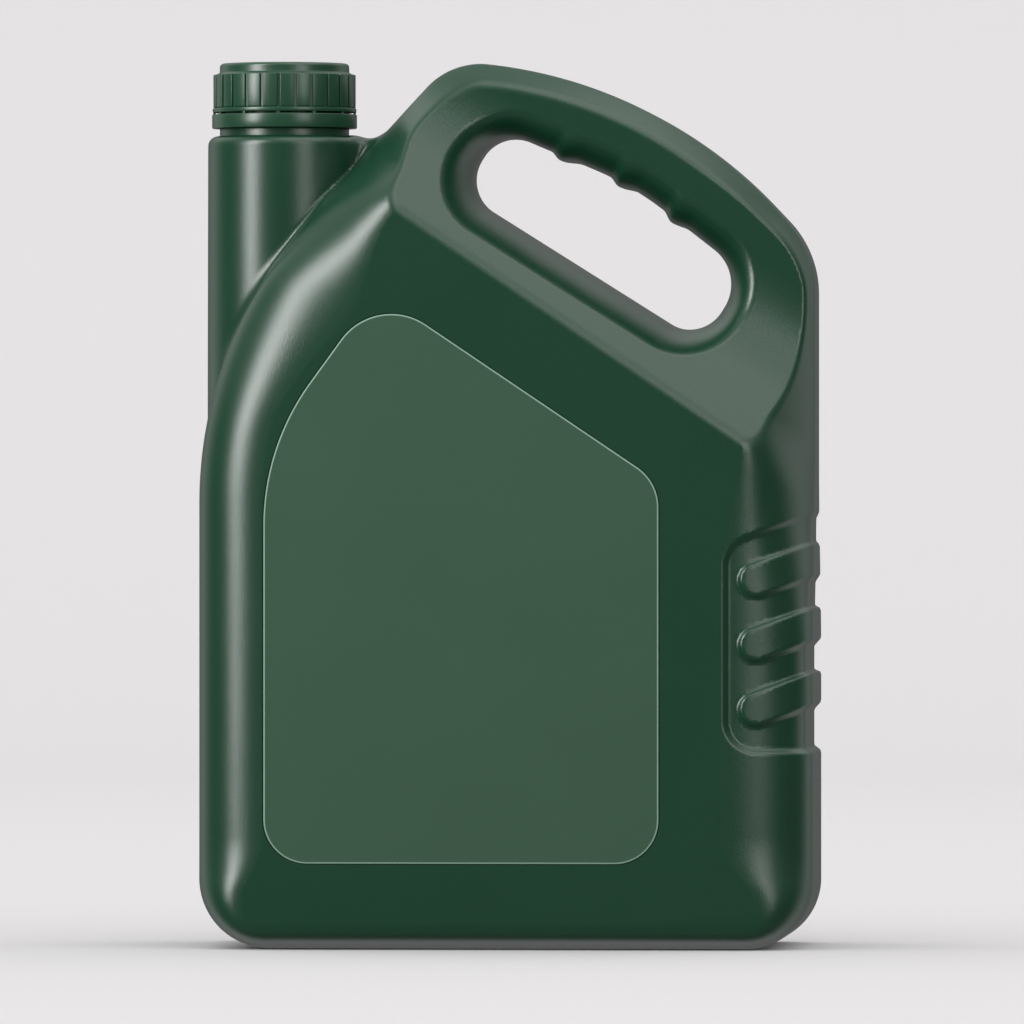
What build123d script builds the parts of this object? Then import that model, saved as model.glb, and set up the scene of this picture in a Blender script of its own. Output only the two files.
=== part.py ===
from build123d import *
import os
from math import atan2, cos, degrees, hypot, pi, radians, sin, tan

# A five litre motor oil bottle: a blow-moulded shell with a through handle, its ribbed screw cap with sealing
# wad, the break-away ring that the cap leaves on the neck, and a film label on the front and back panels.
# Millimetres. X runs across the bottle from the neck (-X) to the grip (+X), Y through its depth, Z up.
# The origin is the centre of the base on the standing surface.

# ---------------------------------------------------------------- bottle: driving sizes
body_width = 218.0
body_depth = 108.0
shoulder_z = 289.0          # flat shoulder that the neck stands on
wall = 1.2                  # blown wall
body_edge_radius = 18.0     # rounding between the panels and the sides
base_neck_radius = 25.0     # corner of the base under the neck
base_grip_radius = 23.5     # corner of the base under the grip

flank_drop = 82.2           # below the shoulder, where the neck-side flank starts to lean
flank_angle = 54.0          # lean of that flank, from the horizontal
flank_radius = 150.0
rise_angle = 47.4           # the steeper rise from the flank to the handle
rise_radius = 80.0
handle_front = 88.6         # from the neck side to the handle's front corner
handle_rise = 26.6          # handle's front corner above the shoulder
handle_front_radius = 26.0
handle_top_angle = -6.4     # start of the handle's long back
handle_back_angle = -46.6   # end of it
handle_back_drop = 41.2     # below the shoulder, where that end meets the grip side
handle_back_radius = 38.0
crown_straight = 0.5        # straight run left beside the arc of the handle's back

handle_depth = 48.0         # thickness of the handle bow
handle_edge_radius = 8.0
cheek_angle = -34.0         # run of the edge between the panel and the sloping cheek
cheek_x = 74.9              # a point of that edge, from the neck side
cheek_drop = 28.8           # and below the shoulder
cheek_slope = 38.0          # how steeply the cheek falls back

hole_radius = 13.5          # ends of the hand hole
hole_front_x = 109.4        # front end centre, from the neck side
hole_front_drop = 15.7      # and below the shoulder
hole_back_margin = 45.1     # back end centre, from the grip side
hole_back_drop = 55.7       # and below the shoulder
hole_arch = 6.5             # rise of the hole's upper edge over a straight slot
hole_throat = 12.0          # straight depth in the middle of the hole
hole_flare = 14.0           # draft of the hole outside the throat, degrees
finger_ridges = 3
finger_pitch = 22.5
finger_height = 1.6
finger_radius = 7.0

recess_depth = 1.5          # grip recess that wraps round the grip side
recess_margin = 31.1        # from the grip side to its edge on the panel
recess_bottom_z = 69.0
recess_height = 75.0
recess_rise = 20.0          # climb of its top edge and ribs, degrees
recess_corner = 12.0
rib_count = 3
rib_pitch = 22.8
rib_width = 11.4
rib_margin = 19.1           # from the grip side to the centre of a rib's round end
rib_first_z = 85.2

base_panel_rise = 1.5       # hollow under the base, inside its standing rim
base_panel_rim = 9.0
base_panel_corner = 12.0

column_margin = 1.4         # of the spout column's radius over the tamper ring's
column_setback = 0.2        # from the neck side to the column
column_top_radius = 3.5
column_root_z = 120.0       # where it ends inside the body

overrun = 20.0              # how far a cutting solid runs out past the body

# ---------------------------------------------------------------- neck and closure: driving sizes
collar_proud = 1.8          # of the collar that the ring stands on, over the neck's root
collar_height = 2.8
neck_root_radius = 21.3
neck_bore_radius = 19.3
neck_height = 23.2
bead_height = 1.2
bead_width = 2.4            # how far the ring's retaining bead stands out from the neck
bead_clearance = 0.5

thread_pitch = 5.0
thread_height = 1.5
thread_base = 2.6
thread_crest = 1.2
neck_thread_turns = 1.4
cap_thread_turns = 1.1
neck_thread_rise = 4.3      # above the bead's top, to the middle of the neck thread's start
thread_clearance = 0.4
thread_root = 0.4           # how far a thread runs into its wall

ring_height = 5.0
ring_gap = 0.7              # slot between the ring and the cap
ring_wall = 1.3
ring_foot = 1.3             # height of the ring's inner flange
ring_clearance = 1.1
ring_proud = 0.2            # of the ring over the cap's lip
bridge_count = 12
bridge_width = 1.1
bridge_depth = 0.8

cap_wall = 1.5
cap_top_thickness = 1.6
cap_rib_count = 26
cap_rib_height = 0.65
cap_rib_share = 0.72        # of each rib pitch that the rib fills
cap_lip_height = 1.6
cap_lip_proud = 1.0         # of the lip over the skirt between the ribs
cap_crown_height = 3.8      # plain crown above the ribs
cap_crown_edge = 1.3
cap_crown_wall = 1.45
cap_bore_step = 1.2         # the bore narrows this far below the crown
liner_thickness = 1.2
liner_overlap = 0.2         # of the liner beyond the neck's mouth
liner_clearance = 0.2

# ---------------------------------------------------------------- labels: driving sizes
label_thickness = 0.15
label_side_margin = 24.7    # from the neck side
label_grip_margin = 53.5    # from the grip side
label_bottom_z = 30.6
label_flank_gap = 37.0      # from the flank's line to the label
label_cheek_gap = 28.4      # from the cheek's edge to the label
label_flank_radius = 86.0
label_apex_radius = 22.0
label_shoulder_radius = 17.0
label_corner_radius = 15.5

# ---------------------------------------------------------------- worked-out places
neck_side = -body_width / 2
grip_side = body_width / 2
half_depth = body_depth / 2
half_handle = handle_depth / 2


def crossing(point_a, angle_a, point_b, angle_b):
    """Where two lines of the side view meet. Angles are in degrees from +X towards +Z."""
    ax, az = cos(radians(angle_a)), sin(radians(angle_a))
    bx, bz = cos(radians(angle_b)), sin(radians(angle_b))
    step = ((point_b[0] - point_a[0]) * bz - (point_b[1] - point_a[1]) * bx) / (ax * bz - az * bx)
    return (point_a[0] + step * ax, point_a[1] + step * az)


def beside(point, angle, distance):
    """A point set off from a line of the side view by a distance, to the right of its direction."""
    return (point[0] + distance * sin(radians(angle)), point[1] - distance * cos(radians(angle)))


flank_foot = (neck_side, shoulder_z - flank_drop)
handle_front_corner = (neck_side + handle_front, shoulder_z + handle_rise)
handle_back_corner = (grip_side, shoulder_z - handle_back_drop)
rise_foot = crossing(flank_foot, flank_angle, handle_front_corner, rise_angle)
handle_crown = crossing(handle_front_corner, handle_top_angle, handle_back_corner, handle_back_angle)

# The handle's back is one arc, as large as its two tangents leave room for.
back_run = hypot(handle_back_corner[0] - handle_crown[0], handle_back_corner[1] - handle_crown[1])
front_run = hypot(handle_crown[0] - handle_front_corner[0], handle_crown[1] - handle_front_corner[1])
back_taken = handle_back_radius * tan(radians((90 + handle_back_angle) / 2))
front_taken = handle_front_radius * tan(radians((rise_angle - handle_top_angle) / 2))
crown_run = min(back_run - back_taken, front_run - front_taken) - crown_straight
crown_radius = crown_run / tan(radians((handle_top_angle - handle_back_angle) / 2))

body_corners = [
    ((neck_side, 0), base_neck_radius),
    (flank_foot, flank_radius),
    (rise_foot, rise_radius),
    (handle_front_corner, handle_front_radius),
    (handle_crown, crown_radius),
    (handle_back_corner, handle_back_radius),
    ((grip_side, 0), base_grip_radius),
]

cheek_point = (neck_side + cheek_x, shoulder_z - cheek_drop)
hole_front = (neck_side + hole_front_x, shoulder_z - hole_front_drop)
hole_back = (grip_side - hole_back_margin, shoulder_z - hole_back_drop)
hole_length = hypot(hole_back[0] - hole_front[0], hole_back[1] - hole_front[1])
hole_angle = degrees(atan2(hole_back[1] - hole_front[1], hole_back[0] - hole_front[0]))
through = body_depth + 2 * overrun

label_flank_point = beside(flank_foot, flank_angle, label_flank_gap)
label_cheek_point = beside(cheek_point, cheek_angle, label_cheek_gap)
label_left = (neck_side + label_side_margin, label_bottom_z)
label_right = (grip_side - label_grip_margin, label_bottom_z)
label_corners = [
    (label_left, label_corner_radius),
    (crossing(label_left, 90, label_flank_point, flank_angle), label_flank_radius),
    (crossing(label_flank_point, flank_angle, label_cheek_point, cheek_angle), label_apex_radius),
    (crossing(label_cheek_point, cheek_angle, label_right, 90), label_shoulder_radius),
    (label_right, label_corner_radius),
]

mouth_z = shoulder_z + neck_height
collar_z = shoulder_z + collar_height
ring_top_z = collar_z + ring_height
cap_bottom_z = ring_top_z + ring_gap
ceiling_z = mouth_z + liner_thickness
cap_top_z = ceiling_z + cap_top_thickness
crown_z = cap_top_z - cap_crown_height
bead_z = collar_z + ring_foot + bead_clearance
neck_thread_z = bead_z + bead_height + neck_thread_rise
cap_thread_z = neck_thread_z + thread_pitch / 2

neck_crest_radius = neck_root_radius + thread_height
cap_bore_radius = neck_crest_radius + thread_clearance
cap_crest_radius = neck_root_radius + thread_clearance
cap_skirt_radius = cap_bore_radius + cap_wall
cap_lip_radius = cap_skirt_radius + cap_lip_proud
liner_radius = neck_root_radius + liner_overlap
crown_bore_radius = liner_radius + liner_clearance
cap_crown_radius = crown_bore_radius + cap_crown_wall
bead_radius = neck_root_radius + bead_width
ring_bore_radius = neck_root_radius + ring_clearance
ring_outer_radius = cap_lip_radius + ring_proud
ring_inner_radius = ring_outer_radius - ring_wall
bridge_radius = (ring_inner_radius + cap_lip_radius) / 2
rib_pitch_arc = 2 * pi * cap_skirt_radius / cap_rib_count
collar_radius = neck_root_radius + collar_proud
column_radius = ring_outer_radius + column_margin
neck_x = neck_side + column_setback + column_radius

base_left = neck_side + base_neck_radius + base_panel_rim
base_right = grip_side - base_grip_radius - base_panel_rim
base_panel_half = half_depth - body_edge_radius - base_panel_rim


# ---------------------------------------------------------------- outlines of the side view
def side_outline(corners, growth, back_y):
    """A closed outline of the side view at y = back_y, its corners rounded, grown evenly all round."""
    with BuildSketch(Plane.XZ.offset(-back_y)) as outline:
        with BuildLine():
            Polyline(*[point for point, radius in corners], close=True)
        make_face()
        for point, radius in corners:
            fillet(outline.vertices().sort_by_distance(point)[0], radius)
        if growth:
            offset(amount=growth)
    return outline.sketch


def hole_outline(growth, offset_y, ridged):
    """The hand hole: a slot with an arched upper edge, and finger ridges that stand into it."""
    radius = hole_radius + growth
    slot_plane = Plane(
        origin=(hole_front[0], offset_y, hole_front[1]),
        x_dir=(cos(radians(hole_angle)), 0, sin(radians(hole_angle))),
        z_dir=(0, -1, 0),
    )
    with BuildSketch(slot_plane) as hole:
        with BuildLine():
            Line((0, -radius), (hole_length, -radius))
            ThreePointArc((hole_length, -radius), (hole_length + radius, 0), (hole_length, radius))
            ThreePointArc((hole_length, radius), (hole_length / 2, radius + hole_arch), (0, radius))
            ThreePointArc((0, radius), (-radius, 0), (0, -radius))
        make_face()
        if ridged:
            arch_radius = ((hole_length / 2) ** 2 + hole_arch**2) / (2 * hole_arch)
            for number in range(finger_ridges):
                along = (number - (finger_ridges - 1) / 2) * finger_pitch
                edge = hole_radius + hole_arch - along**2 / (2 * arch_radius)
                with Locations((hole_length / 2 + along, edge - finger_height + finger_radius)):
                    Circle(finger_radius - growth, mode=Mode.SUBTRACT)
    return hole.sketch


# ---------------------------------------------------------------- bottle: the blown form
def panel_edges(part):
    """The edges round the front and back faces."""
    faces = part.faces().sort_by(Axis.Y)
    return faces[0].edges() + faces[-1].edges()


def body_block(inset):
    """The full-depth body with rounded panel edges, cut back by the sloping cheeks under the handle."""
    lead = half_depth - inset / cos(radians(cheek_slope))
    fall = tan(radians(cheek_slope))
    beyond = half_depth + overrun
    cheek_plane = Plane(
        origin=(cheek_point[0], 0, cheek_point[1]),
        x_dir=(-sin(radians(cheek_angle)), 0, cos(radians(cheek_angle))),
        z_dir=(cos(radians(cheek_angle)), 0, sin(radians(cheek_angle))),
    )
    with BuildPart() as block:
        extrude(side_outline(body_corners, -inset, half_depth - inset), amount=body_depth - 2 * inset)
        fillet(panel_edges(block), body_edge_radius - inset)
        with BuildSketch(cheek_plane):
            with BuildLine():
                Polyline(
                    (-2 * shoulder_z, beyond),
                    ((lead - beyond) / fall, beyond),
                    (lead / fall, 0),
                    ((lead - beyond) / fall, -beyond),
                    (-2 * shoulder_z, -beyond),
                    close=True,
                )
            make_face()
        extrude(amount=body_width + shoulder_z, both=True, mode=Mode.INTERSECT)
    return block.part


def handle_plate(inset):
    """The thinner slab that the handle bow is part of."""
    with BuildPart() as plate:
        extrude(side_outline(body_corners, -inset, half_handle - inset), amount=handle_depth - 2 * inset)
        fillet(panel_edges(plate), handle_edge_radius - inset)
    return plate.part


def spout_column(inset):
    """The round column under the neck, with its flat shoulder."""
    with BuildPart() as column:
        with BuildSketch(Plane.XY.offset(column_root_z)):
            with Locations((neck_x, 0)):
                Circle(column_radius - inset)
        extrude(amount=shoulder_z - inset - column_root_z)
        fillet(column.faces().sort_by(Axis.Z)[-1].edges(), column_top_radius - inset)
    return column.part


def blown_form(inset):
    """Body, handle and spout column in one, with the hand hole through it."""
    with BuildPart() as form:
        add(body_block(inset))
        add(handle_plate(inset))
        add(spout_column(inset))
        extrude(hole_outline(inset, through / 2, True), amount=through, mode=Mode.SUBTRACT)
        throat = hole_outline(inset, -hole_throat / 2, False)
        flare = extrude(throat, amount=through / 2, taper=-hole_flare, mode=Mode.PRIVATE)
        add(flare, mode=Mode.SUBTRACT)
        add(flare.mirror(Plane.XZ), mode=Mode.SUBTRACT)
    return form.part


def recess_prism(growth):
    """The outline of the grip recess, run through the whole depth, without its ribs."""
    rise = tan(radians(recess_rise))
    edge_x = grip_side - recess_margin
    reach = recess_margin + overrun
    corners = [
        (edge_x, recess_bottom_z),
        (edge_x + reach, recess_bottom_z),
        (edge_x + reach, recess_bottom_z + recess_height + reach * rise),
        (edge_x, recess_bottom_z + recess_height),
    ]
    with BuildPart() as prism:
        with BuildSketch(Plane.XZ.offset(-through / 2)) as outline:
            with BuildLine():
                Polyline(*corners, close=True)
            make_face()
            for corner in (corners[0], corners[3]):
                fillet(outline.vertices().sort_by_distance(corner)[0], recess_corner)
            if growth:
                offset(amount=growth)
            for number in range(rib_count):
                centre = (grip_side - rib_margin, rib_first_z + number * rib_pitch)
                with Locations(Location(centre, recess_rise)):
                    Circle(rib_width / 2 - growth, mode=Mode.SUBTRACT)
                    Rectangle(
                        2 * reach,
                        rib_width - 2 * growth,
                        align=(Align.MIN, Align.CENTER),
                        mode=Mode.SUBTRACT,
                    )
        extrude(amount=through)
    return prism.part


def grooved_form(inset):
    """The blown form with the grip recess sunk into it, its ribs left standing."""
    with BuildPart() as cutter:
        add(recess_prism(inset))
        add(body_block(inset + recess_depth), mode=Mode.SUBTRACT)
    with BuildPart() as form:
        add(blown_form(inset))
        add(cutter.part, mode=Mode.SUBTRACT)
    return form.part


# ---------------------------------------------------------------- bottle: threads
def thread_rib(root_radius, crest_radius, start_z, turns):
    """A right-hand thread rib: a trapezium swept along a helix, from its root to its crest."""
    rooted = root_radius - thread_root if crest_radius > root_radius else root_radius + thread_root
    with BuildPart() as rib:
        with BuildLine() as path:
            Helix(thread_pitch, thread_pitch * turns, root_radius, center=(0, 0, start_z))
        start = Plane(origin=path.line @ 0, x_dir=(1, 0, 0), z_dir=path.line % 0)
        with BuildSketch(start):
            with BuildLine():
                Polyline(
                    (rooted - root_radius, -thread_base / 2),
                    (crest_radius - root_radius, -thread_crest / 2),
                    (crest_radius - root_radius, thread_crest / 2),
                    (rooted - root_radius, thread_base / 2),
                    close=True,
                )
            make_face()
        sweep(path=path.line, is_frenet=True)
    return rib.part


def base_panel(growth):
    """The raised panel under the base, inside the rim that the bottle stands on."""
    with BuildPart() as panel:
        with BuildSketch():
            with Locations(((base_left + base_right) / 2, 0)):
                RectangleRounded(
                    base_right - base_left + 2 * growth,
                    2 * (base_panel_half + growth),
                    base_panel_corner + growth,
                )
        extrude(amount=base_panel_rise + growth)
    return panel.part


def neck_disc(radius, bottom_z, top_z):
    """A round slice about the neck's axis."""
    with BuildPart() as disc:
        with BuildSketch(Plane.XY.offset(bottom_z)):
            with Locations((neck_x, 0)):
                Circle(radius)
        extrude(amount=top_z - bottom_z)
    return disc.part


# ---------------------------------------------------------------- bottle
neck_thread = thread_rib(neck_root_radius, neck_crest_radius, neck_thread_z, neck_thread_turns)
neck_root_z = shoulder_z - column_top_radius

with BuildPart() as cavity:
    add(grooved_form(wall))
    add(base_panel(wall), mode=Mode.SUBTRACT)
    add(neck_disc(neck_bore_radius, neck_root_z, mouth_z))

with BuildPart() as bottle:
    add(grooved_form(0))
    add(base_panel(0), mode=Mode.SUBTRACT)
    add(neck_disc(neck_root_radius, neck_root_z, mouth_z))
    add(neck_disc(collar_radius, neck_root_z, collar_z))
    add(neck_disc(bead_radius, bead_z, bead_z + bead_height))
    with Locations((neck_x, 0, 0)):
        add(neck_thread)
    add(cavity.part, mode=Mode.SUBTRACT)
bottle.part.label = "bottle"

# ---------------------------------------------------------------- tamper ring
with BuildPart() as tamper_ring:
    add(neck_disc(ring_outer_radius, collar_z, ring_top_z))
    add(neck_disc(ring_bore_radius, collar_z, ring_top_z), mode=Mode.SUBTRACT)
    add(neck_disc(ring_inner_radius, collar_z + ring_foot, ring_top_z), mode=Mode.SUBTRACT)
    with BuildSketch(Plane.XY.offset(ring_top_z)):
        with Locations((neck_x, 0)):
            with PolarLocations(bridge_radius, bridge_count):
                Rectangle(bridge_depth, bridge_width)
    extrude(amount=ring_gap)
tamper_ring.part.label = "tamper_ring"

# ---------------------------------------------------------------- cap
with BuildPart() as cap_shell:
    with BuildSketch(Plane.XZ):
        with BuildLine():
            Polyline(
                (cap_bore_radius, cap_bottom_z),
                (cap_lip_radius, cap_bottom_z),
                (cap_lip_radius, cap_bottom_z + cap_lip_height),
                (cap_skirt_radius, cap_bottom_z + cap_lip_height),
                (cap_skirt_radius, crown_z),
                (cap_crown_radius, crown_z),
                (cap_crown_radius, cap_top_z),
                (0, cap_top_z),
                (0, ceiling_z),
                (crown_bore_radius, ceiling_z),
                (crown_bore_radius, crown_z - cap_bore_step),
                (cap_bore_radius, crown_z - cap_bore_step),
                close=True,
            )
        make_face()
    revolve(axis=Axis.Z)
    fillet(cap_shell.faces().sort_by(Axis.Z)[-1].edges(), cap_crown_edge)
    with BuildSketch(Plane.XY.offset(cap_bottom_z + cap_lip_height)):
        with PolarLocations(cap_skirt_radius, cap_rib_count):
            Rectangle(2 * cap_rib_height, rib_pitch_arc * cap_rib_share)
    extrude(amount=crown_z - cap_bottom_z - cap_lip_height)
    add(thread_rib(cap_bore_radius, cap_crest_radius, cap_thread_z, cap_thread_turns))

with BuildPart() as cap:
    with Locations((neck_x, 0, 0)):
        add(cap_shell.part)
cap.part.label = "cap"

# ---------------------------------------------------------------- cap liner
with BuildPart() as cap_liner:
    add(neck_disc(liner_radius, mouth_z, ceiling_z))
cap_liner.part.label = "cap_liner"

# ---------------------------------------------------------------- labels
with BuildPart() as front_label:
    extrude(side_outline(label_corners, 0, -half_depth), amount=label_thickness)
front_label.part.label = "front_label"

with BuildPart() as back_label:
    extrude(side_outline(label_corners, 0, half_depth + label_thickness), amount=label_thickness)
back_label.part.label = "back_label"

# ---------------------------------------------------------------- files
os.makedirs("parts", exist_ok=True)
export_step(bottle.part, "parts/bottle.step")
export_step(cap.part, "parts/cap.step")
export_step(tamper_ring.part, "parts/tamper_ring.step")
export_step(cap_liner.part, "parts/cap_liner.step")
export_step(front_label.part, "parts/front_label.step")
export_step(back_label.part, "parts/back_label.step")
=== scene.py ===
from math import atan2, cos, pi, radians, sin, tan

import bmesh
import bpy
import numpy as np
from mathutils import Matrix, Vector


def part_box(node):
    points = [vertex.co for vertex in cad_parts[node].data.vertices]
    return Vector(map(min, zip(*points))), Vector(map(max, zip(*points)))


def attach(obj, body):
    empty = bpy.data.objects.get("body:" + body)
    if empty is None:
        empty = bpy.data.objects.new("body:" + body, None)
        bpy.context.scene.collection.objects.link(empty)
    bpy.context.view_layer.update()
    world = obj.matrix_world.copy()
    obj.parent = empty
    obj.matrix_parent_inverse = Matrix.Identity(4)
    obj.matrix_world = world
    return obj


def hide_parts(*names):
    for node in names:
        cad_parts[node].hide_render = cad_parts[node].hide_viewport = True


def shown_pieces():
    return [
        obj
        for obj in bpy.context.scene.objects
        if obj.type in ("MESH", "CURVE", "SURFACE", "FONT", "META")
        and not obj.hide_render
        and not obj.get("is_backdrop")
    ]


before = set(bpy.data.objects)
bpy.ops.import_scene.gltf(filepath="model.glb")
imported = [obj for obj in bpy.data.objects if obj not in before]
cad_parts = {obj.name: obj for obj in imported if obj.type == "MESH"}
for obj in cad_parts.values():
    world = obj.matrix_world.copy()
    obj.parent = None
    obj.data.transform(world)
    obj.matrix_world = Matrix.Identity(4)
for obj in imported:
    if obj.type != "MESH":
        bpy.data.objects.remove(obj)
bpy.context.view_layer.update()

bl_info = {
    "name": "Blow-moulded oil bottle",
    "version": (1, 0, 0),
    "blender": (4, 5, 0),
    "location": "View3D > Sidebar > Oil bottle",
    "description": "Builds a blow-moulded handled bottle, its screw cap and its labels round the packed part",
    "category": "Object",
}

MM = 0.001
BOTTLE_LOW, BOTTLE_HIGH = (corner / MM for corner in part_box("bottle"))
CAP_LOW, CAP_HIGH = (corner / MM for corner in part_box("cap"))
RING_LOW, RING_HIGH = (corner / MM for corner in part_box("tamper_ring"))
LABEL_LOW, LABEL_HIGH = (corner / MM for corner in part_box("front_label"))
LINER_LOW, LINER_HIGH = (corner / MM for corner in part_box("cap_liner"))
NECK_X = (CAP_LOW.x + CAP_HIGH.x) / 2
COLLAR_HEIGHT = 2.8
SHOULDER_Z = RING_LOW.z - COLLAR_HEIGHT


# ---------------------------------------------------------------- sizes and colours a user may change
def length(name, description, default):
    """A size in millimetres."""
    return bpy.props.FloatProperty(name=name, description=description, default=default, min=0.0)


def metres(name, description, default):
    """A size in metres."""
    return bpy.props.FloatProperty(name=name, description=description, default=default, unit="LENGTH")


def colour(name, description, default):
    """An opaque colour, as linear values."""
    return bpy.props.FloatVectorProperty(
        name=name, description=description, default=default, subtype="COLOR", size=4, min=0.0, max=1.0
    )


class BottleSizes(bpy.types.PropertyGroup):
    sample_step: length("Sample step", "Spacing of the samples that the blown form is drawn from, in mm", 1.0)
    panel_edge_width: length("Panel edge width", "Width of the rounding round the panels, in mm", 26.0)
    panel_edge_depth: length("Panel edge depth", "Depth of the rounding round the panels, in mm", 22.0)
    flank_edge_extra: length("Flank edge extra", "How much wider it is along the flank, in mm", 12.0)
    grip_edge_extra: length("Grip edge extra", "How much wider it is along the grip side, in mm", 8.0)
    handle_bevel_depth: length("Handle bevel depth", "Depth of the bevel round the handle, in mm", 8.0)
    base_edge_width: length("Base edge width", "Width of the rounding above the base, in mm", 7.0)
    crease_blend: length("Crease blend", "Softness of the edges between panel, cheek and bevel, in mm", 1.7)
    hole_flare_width: length("Hole flare width", "How far the hand hole's rolled rim spreads, in mm", 10.0)
    recess_depth: length("Recess depth", "Depth of the grip recess, in mm", 1.6)
    recess_edge: length("Recess edge", "Width of the recess's sloping border, in mm", 2.6)
    cavity_gap: length("Cavity gap", "From the form to the cavity inside it, in mm", 3.0)


class ClosureSizes(bpy.types.PropertyGroup):
    rib_count: bpy.props.IntProperty(name="Ribs", description="Grip ribs round the cap", default=26, min=3)
    rib_share: bpy.props.FloatProperty(
        name="Rib share", description="Part of each rib pitch that the rib fills", default=0.8,
        min=0.1, max=0.95
    )
    rib_bevel: length("Rib bevel", "Rounding of each rib's edges, in mm", 0.28)
    bridge_count: bpy.props.IntProperty(
        name="Bridges", description="Break-away bridges between cap and ring", default=12, min=1
    )
    segments: bpy.props.IntProperty(
        name="Segments", description="Sides of each round piece", default=180, min=24
    )


class LabelSizes(bpy.types.PropertyGroup):
    rim_width: length("Rim width", "Width of the film's bevelled cut edge, in mm", 0.5)
    groove_width: length("Groove width", "Width of the moulded line round the label, in mm", 0.45)
    groove_depth: length("Groove depth", "Depth of the moulded line round the label, in mm", 0.4)


class Finishes(bpy.types.PropertyGroup):
    bottle_colour: colour("Bottle colour", "Dyed-through polyethylene", (0.0034, 0.0262, 0.0125, 1))
    cap_colour: colour("Cap colour", "Dyed-through polypropylene", (0.0055, 0.032, 0.0145, 1))
    label_colour: colour("Label colour", "Face of the label film", (0.0135, 0.0458, 0.024, 1))
    # The label edge colour is a painted highlight: the film's bevelled cut edge is coloured much lighter than
    # the film, standing in for light caught along the edge.
    label_edge_highlight_colour: colour("Label edge highlight colour", "Cut edge of the label film", (0.10, 0.17, 0.125, 1))
    liner_colour: colour("Liner colour", "Foamed sealing wad", (0.72, 0.70, 0.66, 1))
    backdrop_colour: colour("Backdrop colour", "Pale floor and backdrop", (0.80, 0.785, 0.79, 1))


class StageSizes(bpy.types.PropertyGroup):
    camera_turn: bpy.props.FloatProperty(
        name="Camera turn", description="How far the camera stands to the grip side", default=radians(4.0),
        subtype="ANGLE"
    )
    camera_distance: metres("Camera distance", "From the camera to the bottle's middle", 4.7)
    camera_height: metres("Camera height", "Height of the level camera", 0.1548)
    frame_width: metres("Frame width", "Width that the picture covers at the bottle's middle", 0.3656)


# ---------------------------------------------------------------- outlines of the side view, in mm
def crossing(point_a, angle_a, point_b, angle_b):
    """Where two lines of the side view meet. Angles are in degrees from +X towards +Z."""
    ax, az = cos(radians(angle_a)), sin(radians(angle_a))
    bx, bz = cos(radians(angle_b)), sin(radians(angle_b))
    step = ((point_b[0] - point_a[0]) * bz - (point_b[1] - point_a[1]) * bx) / (ax * bz - az * bx)
    return (point_a[0] + step * ax, point_a[1] + step * az)


def beside(point, angle, distance):
    """A point set off from a line of the side view by a distance, to the right of its direction."""
    return (point[0] + distance * sin(radians(angle)), point[1] - distance * cos(radians(angle)))


def corner_arcs(corners):
    """For each corner (x, z, radius) of a closed outline: its arc's centre, radius, start, end and turn."""
    arcs = []
    for number, (x, z, radius) in enumerate(corners):
        here = np.array((x, z))
        before = np.array(corners[number - 1][:2]) - here
        after = np.array(corners[(number + 1) % len(corners)][:2]) - here
        before, after = before / np.hypot(*before), after / np.hypot(*after)
        half = np.arccos(np.clip(before @ after, -1, 1)) / 2
        middle = (before + after) / np.hypot(*(before + after))
        reach = radius / tan(half)
        turn = np.sign(before[1] * after[0] - before[0] * after[1])
        centre = here + middle * radius / sin(half)
        arcs.append((centre, radius, here + before * reach, here + after * reach, turn))
    return arcs


def outline_points(corners, arc_step):
    """The outline as points, its arcs divided to about arc_step."""
    points = []
    for centre, radius, start, end, turn in corner_arcs(corners):
        first = atan2(*(start - centre)[::-1])
        sweep = (atan2(*(end - centre)[::-1]) - first + pi) % (2 * pi) - pi
        count = max(2, int(abs(sweep) * radius / arc_step) + 1)
        for angle in np.linspace(first, first + sweep, count + 1):
            points.append(centre + radius * np.array((cos(angle), sin(angle))))
    return np.array(points)


def outline_distance(x, z, corners):
    """Distance to a closed outline with rounded corners listed clockwise, less than 0 inside."""
    arcs = corner_arcs(corners)
    best = np.full(x.shape, 1e6)
    for number, (centre, radius, start, end, turn) in enumerate(arcs):
        following = arcs[(number + 1) % len(arcs)][2]
        span = following - end
        run = np.hypot(*span)
        ux, uz = span / run
        along = (x - end[0]) * ux + (z - end[1]) * uz
        side = (z - end[1]) * ux - (x - end[0]) * uz
        nearer = (along >= 0) & (along <= run) & (np.abs(side) < np.abs(best))
        best = np.where(nearer, side, best)
        dx, dz = x - centre[0], z - centre[1]
        middle = (start + end) / 2 - centre
        middle = middle / np.hypot(*middle)
        limit = (start - centre) @ middle / radius
        reach = np.hypot(dx, dz)
        gap = (reach - radius) * -turn
        nearer = (dx * middle[0] + dz * middle[1] >= limit * reach) & (np.abs(gap) < np.abs(best))
        best = np.where(nearer, gap, best)
    return best


def smooth_step(value, low, high):
    """0 below low, 1 above high, and an even S between."""
    t = np.clip((value - low) / (high - low), 0, 1)
    return t * t * (3 - 2 * t)


def smooth_min(a, b, blend):
    """The lesser of two values, rounded where they cross within the blend."""
    h = np.clip(0.5 + 0.5 * (b - a) / blend, 0, 1)
    return b + (a - b) * h - blend * h * (1 - h)


def smooth_max(a, b, blend):
    """The greater of two values, rounded where they cross within the blend."""
    return -smooth_min(-a, -b, blend)


def rounded_corner(a, b, radius):
    """Distance to the corner where two half spaces overlap, its edge rounded to a radius."""
    inner = np.minimum(np.maximum(a, b) + radius, 0)
    return inner + np.hypot(np.maximum(a + radius, 0), np.maximum(b + radius, 0)) - radius


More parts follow.
